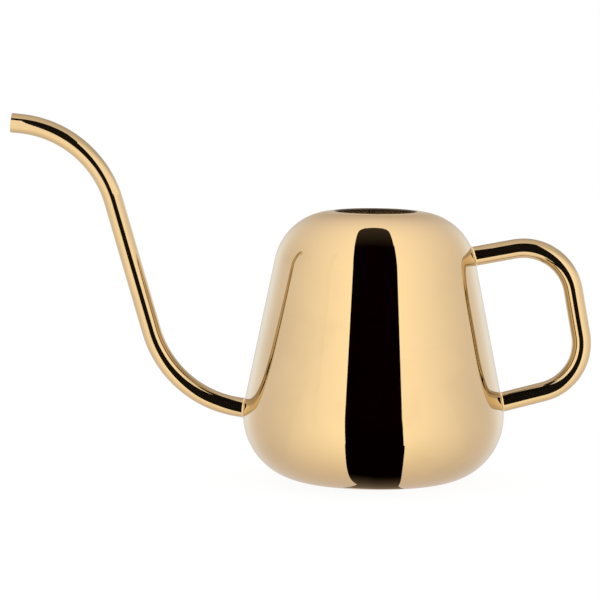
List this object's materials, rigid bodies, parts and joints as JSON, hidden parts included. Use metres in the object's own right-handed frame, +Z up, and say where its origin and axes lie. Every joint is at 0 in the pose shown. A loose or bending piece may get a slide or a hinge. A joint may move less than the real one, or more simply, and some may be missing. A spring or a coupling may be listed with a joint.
{
  "type": "watering can",
  "caption": "Small indoor watering can: round sheet-metal body with an open hemmed mouth, a long swan-neck spout and a bent-tube loop handle.",
  "frame": {"origin": "on the body's axis, at the level of the flat ring that the can stands on", "axes": "+Z up along the body's axis; -X towards the spout's tip and +X towards the handle; +Y away from the side seen with the spout on the left"},
  "size_m": [0.3255, 0.146, 0.2035],
  "materials": {
    "body_metal": "mirror-polished brass outside, satin inside",
    "base_metal": "mirror-polished brass outside, satin inside and under the base",
    "spout_metal": "mirror-polished brass tube, dull in its bore",
    "handle_metal": "mirror-polished brass tube",
    "weld_metal": "dressed and polished weld bead"
  },
  "bodies": {
    "root": {"body_shell": "body_metal", "base_pan": "base_metal", "seam_weld": "weld_metal", "spout_tube": "spout_metal", "spout_weld": "weld_metal", "handle_tube": "handle_metal", "handle_weld_upper": "weld_metal", "handle_weld_lower": "weld_metal"}
  },
  "joints": []
}
